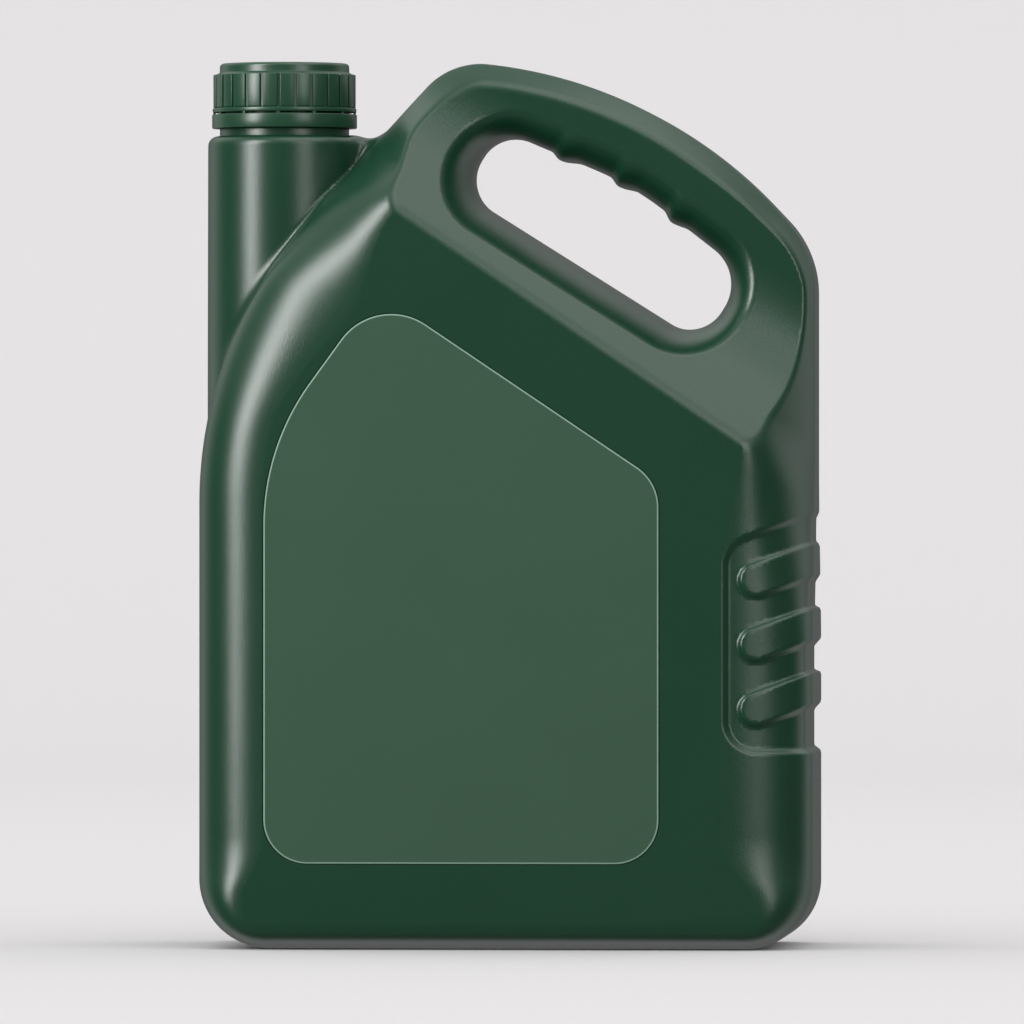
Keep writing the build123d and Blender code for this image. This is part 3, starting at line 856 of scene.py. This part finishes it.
def plastic(name, colour, roughness, grain_scale, grain_depth, mottling=0.10, ior=1.5, seam=False):
    """A moulded plastic in one colour, with its grain."""
    material = bpy.data.materials.get(name)
    if material:
        return material
    material = bpy.data.materials.new(name)
    material.use_nodes = True
    nodes, link = material.node_tree.nodes, material.node_tree.links.new
    shader = nodes["Principled BSDF"]
    shader.inputs["IOR"].default_value = ior
    grain = nodes.new("ShaderNodeGroup")
    grain.node_tree = grain_group()
    grain.inputs["Colour"].default_value = colour
    grain.inputs["Roughness"].default_value = roughness
    grain.inputs["Grain scale"].default_value = grain_scale
    grain.inputs["Mottling"].default_value = mottling
    bump = nodes.new("ShaderNodeBump")
    bump.inputs["Distance"].default_value = grain_depth
    link(grain.outputs["Colour"], shader.inputs["Base Color"])
    link(grain.outputs["Roughness"], shader.inputs["Roughness"])
    link(grain.outputs["Height"], bump.inputs["Height"])
    link(bump.outputs["Normal"], shader.inputs["Normal"])
    if seam:
        place, split = nodes.new("ShaderNodeTexCoord"), nodes.new("ShaderNodeSeparateXYZ")
        away, line, ridge = (nodes.new("ShaderNodeMath") for _ in range(3))
        away.operation, line.operation, ridge.operation = "ABSOLUTE", "DIVIDE", "SUBTRACT"
        line.inputs[1].default_value = SEAM_HALF_WIDTH
        ridge.inputs[0].default_value = 1.0
        ridge.use_clamp = True
        part = nodes.new("ShaderNodeBump")
        part.inputs["Distance"].default_value = SEAM_HEIGHT
        link(place.outputs["Object"], split.inputs[0])
        link(split.outputs["Y"], away.inputs[0])
        link(away.outputs[0], line.inputs[0])
        link(line.outputs[0], ridge.inputs[1])
        link(ridge.outputs[0], part.inputs["Height"])
        link(part.outputs["Normal"], bump.inputs["Normal"])
    return material


def finishes():
    """The colours set in the sidebar."""
    return bpy.context.scene.oil_bottle_finishes


def bottle_plastic():
    """The bottle's finish, with the mould's parting line."""
    return plastic(
        "Bottle polyethylene", finishes().bottle_colour, roughness=0.28, grain_scale=2600.0,
        grain_depth=0.00005, mottling=0.12, seam=True
    )


def cap_plastic():
    """The finish of the cap and its ring."""
    return plastic(
        "Cap polypropylene", finishes().cap_colour, roughness=0.30, grain_scale=1400.0, grain_depth=0.00002
    )


# ---------------------------------------------------------------- pieces
MAP_STEP, CAVITY_STEP = 0.5, 3.0
SHELL_TRIANGLES = 150000
BORE_SEGMENTS = 90
GROOVE_ARC_STEP, LABEL_ARC_STEP = 1.0, 0.8
SHELL_SHARP = radians(35)
FORM_NORMAL_SPREAD = radians(25)
FORM_NORMAL_REACH = 0.08
FILM_EDGE_SHARE = 0.3


class OBJECT_OT_blow_bottle(bpy.types.Operator):
    """Builds the blown bottle: body, handle, spout column, threaded neck, cavity and label grooves"""

    bl_idname = "oil_bottle.blow_bottle"
    bl_label = "Bottle"

    def execute(self, context):
        sizes, label = context.scene.oil_bottle_sizes, context.scene.oil_bottle_label
        table = SideTable(MAP_STEP, sizes)
        field, low, step = sampled_form(table, sizes.sample_step, sizes)
        points, quads = surface_net(field, low, step)
        bottle = thinned(mesh_object("bottle_shell", points, quads), SHELL_TRIANGLES)
        place = settle(table, vertex_places(bottle.data), sizes)
        bottle.data.vertices.foreach_set("co", place.ravel())

        neck = lathe(
            "neck",
            [
                (0, SHOULDER_Z - 6, 0.01), (0, MOUTH_Z, 0.01), (NECK_ROOT, MOUTH_Z, 0.5),
                (NECK_ROOT, BEAD_Z + 1.2, 0.3), (BEAD_RADIUS, BEAD_Z + 0.6, 0.3), (BEAD_RADIUS, BEAD_Z, 0.2),
                (NECK_ROOT, BEAD_Z, 0.2), (NECK_ROOT, RING_LOW.z, 0.3), (COLLAR_RADIUS, RING_LOW.z, 0.4),
                (COLLAR_RADIUS, SHOULDER_Z - 6, 0.01),
            ],
            context.scene.oil_bottle_closure.segments,
        )
        screw = thread("neck_thread", NECK_ROOT, NECK_CREST, NECK_THREAD_Z, NECK_THREAD_TURNS)
        combined(neck, screw, "UNION")
        combined(bottle, neck, "UNION")

        coarse, low, step = sampled_form(table, CAVITY_STEP, sizes)
        points, quads = surface_net(coarse + sizes.cavity_gap, low, step)
        combined(bottle, mesh_object("cavity", points, quads), "DIFFERENCE")
        bore = [
            (0, SHOULDER_Z - 8, 0.01), (0, MOUTH_Z + 3, 0.01), (NECK_BORE, MOUTH_Z + 3, 0.01),
            (NECK_BORE, SHOULDER_Z - 8, 0.01),
        ]
        combined(bottle, lathe("bore", bore, BORE_SEGMENTS), "DIFFERENCE")
        outline = outline_points(LABEL_OUTLINE, GROOVE_ARC_STEP)
        for name, side in (("front_groove", -1), ("back_groove", 1)):
            shallow, deep = side * (HALF_DEPTH + 1), side * (HALF_DEPTH - label.groove_depth)
            outer = grown(outline, label.groove_width)
            ring = band(name, [(outline, shallow), (outer, shallow), (outer, deep), (outline, deep)], False)
            combined(bottle, ring, "DIFFERENCE")
        self.shade(table, bottle, sizes)
        finish_piece(bottle, "bottle_body", ["bottle"], bottle_plastic(), sharp=None)
        return {"FINISHED"}

    def shade(self, table, bottle, sizes):
        """Smooth normals from the form itself, and plain ones where the neck, bore and grooves are."""
        mesh = bottle.data
        mesh.polygons.foreach_set("use_smooth", np.ones(len(mesh.polygons), bool))
        mesh.set_sharp_from_angle(angle=SHELL_SHARP)
        value, slope = field_and_slope(table, vertex_places(mesh), sizes)
        slope /= np.maximum(np.linalg.norm(slope, axis=1), 1e-9)[:, None]
        corner = np.empty(len(mesh.loops), np.int32)
        mesh.loops.foreach_get("vertex_index", corner)
        own = np.empty(len(mesh.loops) * 3, np.float32)
        mesh.corner_normals.foreach_get("vector", own)
        own = own.reshape(-1, 3)
        smooth = slope[corner]
        agree = (own * smooth).sum(1) > cos(FORM_NORMAL_SPREAD)
        use = agree & (np.abs(value[corner]) < FORM_NORMAL_REACH)
        normals = np.where(use[:, None], smooth, own)
        mesh.normals_split_custom_set(normals.tolist())


class OBJECT_OT_turn_closure(bpy.types.Operator):
    """Builds the ribbed screw cap and its break-away ring, and finishes the sealing wad"""

    bl_idname = "oil_bottle.turn_closure"
    bl_label = "Closure"

    def execute(self, context):
        sizes = context.scene.oil_bottle_closure
        material = cap_plastic()
        low, high = CAP_LOW.z, CAP_HIGH.z
        shell = lathe(
            "cap_wall",
            [
                (0, high - 1.6, 0.01), (0, high - 0.4, 0.01), (CROWN_RADIUS - 3.4, high - 0.4, 0.01),
                (CROWN_RADIUS - 2.9, high, 0.01), (CROWN_RADIUS, high, 1.4),
                (CROWN_RADIUS, CROWN_Z + 0.6, 0.25), (SKIRT_RADIUS, CROWN_Z - 0.3, 0.3),
                (SKIRT_RADIUS, low + 1.8, 0.3), (LIP_RADIUS, low + 1.4, 0.35), (LIP_RADIUS, low, 0.25),
                (CAP_BORE, low, 0.2), (CAP_BORE, CROWN_Z - 1.4, 0.2), (CAP_CREST, CROWN_Z - 0.9, 0.2),
                (CAP_CREST, high - 1.6, 0.2),
            ],
            sizes.segments,
        )
        rib_height = CROWN_Z - low - 1.9
        rib_width = 2 * pi * RIB_RADIUS / sizes.rib_count * sizes.rib_share
        rib = soft_block("rib", (1.6, rib_width, rib_height), sizes.rib_bevel)
        middle = low + 1.7 + rib_height / 2
        ribs = repeated_round("cap_ribs", rib, sizes.rib_count, RIB_RADIUS - 0.8, middle, material)
        screw = thread("cap_thread", CAP_BORE, CAP_CREST, CAP_THREAD_Z, CAP_THREAD_TURNS)
        cap = joined("cap_shell", [shell, ribs, screw])
        finish_piece(cap, "cap_body", ["cap"], material)

        low = RING_LOW.z
        wall = lathe(
            "ring_wall",
            [
                (RING_RADIUS - 3.5, low, 0.2), (RING_RADIUS - 3.5, low + 1.3, 0.2),
                (RING_RADIUS - 1.3, low + 1.3, 0.2), (RING_RADIUS - 1.3, RING_TOP, 0.2),
                (RING_RADIUS, RING_TOP, 0.35), (RING_RADIUS, low, 0.3),
            ],
            sizes.segments,
        )
        gap = CAP_LOW.z - RING_TOP
        bridge = soft_block("bridge", (0.8, 1.1, gap + 0.3), 0.08)
        radius, middle = (LIP_RADIUS + RING_RADIUS - 1.3) / 2, RING_TOP + gap / 2 - 0.15
        bridges = repeated_round("ring_bridges", bridge, sizes.bridge_count, radius, middle, material)
        ring = joined("break_away_ring", [wall, bridges])
        finish_piece(ring, "bottle_body", ["tamper_ring"], material)

        foam = plastic(
            "Sealing foam", finishes().liner_colour, roughness=0.8, grain_scale=1800.0, grain_depth=0.00008
        )
        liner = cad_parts["cap_liner"]
        liner.data.materials.clear()
        liner.data.materials.append(foam)
        return {"FINISHED"}


class OBJECT_OT_press_labels(bpy.types.Operator):
    """Builds the film labels on the front and back panels"""

    bl_idname = "oil_bottle.press_labels"
    bl_label = "Labels"

    def execute(self, context):
        sizes = context.scene.oil_bottle_label
        face = plastic(
            "Label film", finishes().label_colour, roughness=0.46, grain_scale=1100.0, grain_depth=0.00003,
            mottling=0.07, ior=1.45
        )
        # The edge finish paints the label's bevelled cut edge lighter than the film, as a painted highlight
        # round the label; the bevel itself is real geometry.
        rim = plastic(
            "Label edge painted highlight", finishes().label_edge_highlight_colour, roughness=0.5, grain_scale=1100.0,
            grain_depth=0.00002
        )
        outline = outline_points(LABEL_OUTLINE, LABEL_ARC_STEP)
        inner = grown(outline, -sizes.rim_width)
        for name, side in (("front_label", -1), ("back_label", 1)):
            proud, low = side * LABEL_HIGH.y, side * HALF_DEPTH
            if side < 0:
                proud = LABEL_LOW.y
            middle = low + (proud - low) * FILM_EDGE_SHARE
            film = band(f"{name}_film", [(outline, low), (outline, middle), (inner, proud)], True)
            finish_piece(film, "bottle_body", [name], face, sharp=radians(5))
            film.data.materials.append(rim)
            # Faces that are not flat (the bevel and the cut edge) take the lighter edge finish, which paints a
            # highlight round the label.
            for polygon in film.data.polygons:
                polygon.material_index = 0 if abs(polygon.normal.y) > 0.999 else 1
        return {"FINISHED"}


# ---------------------------------------------------------------- stage
# Each lamp: name, degrees round the bottle, degrees up, metres away, size in metres, and watts.
SOFTBOXES = (
    ("left_softbox", -48, 22, 1.9, (0.55, 1.7), 47.0),
    ("right_softbox", 34, 18, 2.1, (0.7, 1.5), 13.0),
    ("top_softbox", 46, 64, 1.9, (1.7, 1.3), 13.0),
)
ROOM_COLOUR = (1.055, 1.055, 1.06, 1)
# What reflections see: a least brightness, and ramps along an axis, each with its start, end and strength.
GLOSSY_FLOOR = 0.07
GLOSSY_ROOM = (("Z", 0.1, 1.0, 0.8), ("Z", -0.1, -0.8, 0.15), ("Y", 0.1, 0.55, 0.65), ("Y", 0.6, 0.95, -0.52))


class OBJECT_OT_set_stage(bpy.types.Operator):
    """Adds the pale floor and backdrop, the soft lights and the camera"""

    bl_idname = "oil_bottle.set_stage"
    bl_label = "Stage"

    def execute(self, context):
        stage = context.scene.oil_bottle_stage
        middle = Vector((0, 0, stage.camera_height))
        self.floor()
        lit = bpy.data.collections.new("lit pieces")
        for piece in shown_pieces():
            lit.objects.link(piece)
        for name, around, above, away, size, power in SOFTBOXES:
            lamp = self.softbox(name, radians(around), radians(above), away, size, power, middle)
            lamp.light_linking.receiver_collection = lit
        self.surroundings(context.scene)
        turn = stage.camera_turn
        data = bpy.data.cameras.new("camera")
        data.sensor_width = 36.0
        data.lens = data.sensor_width * stage.camera_distance / stage.frame_width
        data.clip_end = 60.0
        camera = bpy.data.objects.new("camera", data)
        camera.location = middle + stage.camera_distance * Vector((sin(turn), -cos(turn), 0))
        camera.rotation_euler = (radians(90), 0, turn)
        context.scene.collection.objects.link(camera)
        context.scene.camera = camera
        context.scene.view_settings.view_transform = "Standard"
        return {"FINISHED"}

    def floor(self):
        """A floor that curves up into a backdrop."""
        front, reach, bend, wide, top = -4.0, 3.0, 1.0, 8.0, 5.0
        profile = [(front, 0.0), (reach, 0.0)]
        profile += [
            (reach + bend * sin(radians(turn)), bend * (1 - cos(radians(turn)))) for turn in range(10, 91, 10)
        ]
        profile.append((reach + bend, top))
        points = [(x, y, z) for y, z in profile for x in (-wide / 2, wide / 2)]
        faces = [(2 * n, 2 * n + 1, 2 * n + 3, 2 * n + 2) for n in range(len(profile) - 1)]
        floor = mesh_object("backdrop", points, faces)
        floor.data.polygons.foreach_set("use_smooth", np.ones(len(faces), bool))
        floor.visible_glossy = False
        material = bpy.data.materials.new("Backdrop paper")
        material.use_nodes = True
        nodes, link = material.node_tree.nodes, material.node_tree.links.new
        shader = nodes["Principled BSDF"]
        shader.inputs["Roughness"].default_value = 1.0
        shader.inputs["Specular IOR Level"].default_value = 0.0
        noise, mix = nodes.new("ShaderNodeTexNoise"), nodes.new("ShaderNodeMix")
        noise.inputs["Scale"].default_value = 3.0
        mix.data_type = "RGBA"
        pale = finishes().backdrop_colour
        mix.inputs["A"].default_value = pale
        mix.inputs["B"].default_value = [value * 0.995 for value in pale]
        link(noise.outputs["Fac"], mix.inputs["Factor"])
        link(mix.outputs["Result"], shader.inputs["Base Color"])
        floor.data.materials.append(material)
        floor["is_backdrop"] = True

    def softbox(self, name, around, above, away, size, power, target):
        """A rectangular lamp that faces the target, its angles in radians."""
        data = bpy.data.lights.new(name, "AREA")
        data.shape, data.size, data.size_y = "RECTANGLE", *size
        data.energy = power
        lamp = bpy.data.objects.new(name, data)
        level = Vector((sin(around), -cos(around), 0)) * cos(above)
        lamp.location = target + away * (level + Vector((0, 0, sin(above))))
        lamp.rotation_euler = (target - lamp.location).to_track_quat("-Z", "Y").to_euler()
        bpy.context.scene.collection.objects.link(lamp)
        return lamp

    def surroundings(self, scene):
        """An even pale room, and the graded one that reflections see."""
        world = bpy.data.worlds.new("studio")
        world.use_nodes = True
        nodes, link = world.node_tree.nodes, world.node_tree.links.new
        rays, mix = nodes.new("ShaderNodeLightPath"), nodes.new("ShaderNodeMix")
        place, split = nodes.new("ShaderNodeTexCoord"), nodes.new("ShaderNodeSeparateXYZ")
        link(place.outputs["Generated"], split.inputs[0])
        total = None
        for axis, start, end, strength in GLOSSY_ROOM:
            ramp = nodes.new("ShaderNodeMapRange")
            ramp.interpolation_type = "SMOOTHSTEP"
            for socket, value in (("From Min", start), ("From Max", end), ("To Min", 0.0), ("To Max", strength)):
                ramp.inputs[socket].default_value = value
            link(split.outputs[axis], ramp.inputs["Value"])
            add = nodes.new("ShaderNodeMath")
            add.inputs[1].default_value = GLOSSY_FLOOR
            if total:
                link(total, add.inputs[1])
            link(ramp.outputs["Result"], add.inputs[0])
            total = add.outputs[0]
        mix.data_type = "RGBA"
        mix.inputs["A"].default_value = ROOM_COLOUR
        link(total, mix.inputs["B"])
        link(rays.outputs["Is Glossy Ray"], mix.inputs["Factor"])
        link(mix.outputs["Result"], nodes["Background"].inputs["Color"])
        scene.world = world


# ---------------------------------------------------------------- sidebar panel
class VIEW3D_PT_oil_bottle(bpy.types.Panel):
    """The bottle's sizes, finishes and steps"""

    bl_label = "Oil bottle"
    bl_idname = "VIEW3D_PT_oil_bottle"
    bl_space_type = "VIEW_3D"
    bl_region_type = "UI"
    bl_category = "Oil bottle"

    def draw(self, context):
        for group in GROUPS:
            settings = getattr(context.scene, group)
            box = self.layout.box()
            for name in settings.bl_rna.properties.keys():
                if name not in ("rna_type", "name"):
                    box.prop(settings, name)
        for step in STEPS:
            self.layout.operator(step.bl_idname)


GROUPS = {
    "oil_bottle_sizes": BottleSizes,
    "oil_bottle_closure": ClosureSizes,
    "oil_bottle_label": LabelSizes,
    "oil_bottle_finishes": Finishes,
    "oil_bottle_stage": StageSizes,
}
STEPS = (OBJECT_OT_blow_bottle, OBJECT_OT_turn_closure, OBJECT_OT_press_labels, OBJECT_OT_set_stage)


def register():
    for kind in (*GROUPS.values(), *STEPS, VIEW3D_PT_oil_bottle):
        bpy.utils.register_class(kind)
    for name, kind in GROUPS.items():
        setattr(bpy.types.Scene, name, bpy.props.PointerProperty(type=kind))


def unregister():
    for name in GROUPS:
        delattr(bpy.types.Scene, name)
    for kind in reversed((*GROUPS.values(), *STEPS, VIEW3D_PT_oil_bottle)):
        bpy.utils.unregister_class(kind)


def main():
    register()
    bpy.ops.oil_bottle.blow_bottle()
    bpy.ops.oil_bottle.turn_closure()
    bpy.ops.oil_bottle.press_labels()
    bpy.ops.oil_bottle.set_stage()


if __name__ == "__main__":
    main()
